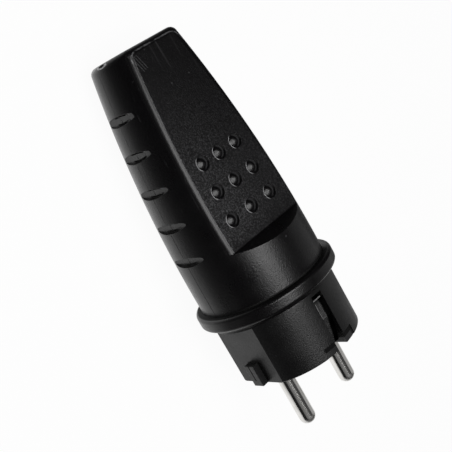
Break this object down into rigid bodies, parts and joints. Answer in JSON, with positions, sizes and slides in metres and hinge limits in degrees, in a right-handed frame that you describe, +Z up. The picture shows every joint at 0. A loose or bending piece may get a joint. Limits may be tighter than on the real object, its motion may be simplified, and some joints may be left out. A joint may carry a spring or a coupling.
{
  "type": "rubber mains plug",
  "caption": "Straight black rubber mains plug with round pins, side earth contacts, a flanged nose and a tapering grip with dimpled flats and notched sides.",
  "frame": {"origin": "under the middle of the plug's box, on the surface that it lies on", "axes": "+X along the plug towards the pins, +Y through both pins, +Z up, with a grip flat uppermost"},
  "size_m": [0.1132, 0.042, 0.0418],
  "materials": {
    "black_rubber": "satin",
    "nose_plastic": "satin",
    "inner_plastic": "matte",
    "nickel": "polished",
    "zinc_steel": "satin"
  },
  "bodies": {
    "root": {"rubber_housing": "black_rubber", "contact_carrier": "nose_plastic", "terminal_cover": "inner_plastic", "cord_clamp": "inner_plastic", "live_pin": "nickel", "neutral_pin": "nickel", "earth_bow": "nickel", "terminal_screws": "zinc_steel", "earth_screw": "zinc_steel", "earth_washer": "zinc_steel", "centre_screw": "zinc_steel", "cord_clamp_screws": "zinc_steel"}
  },
  "joints": []
}
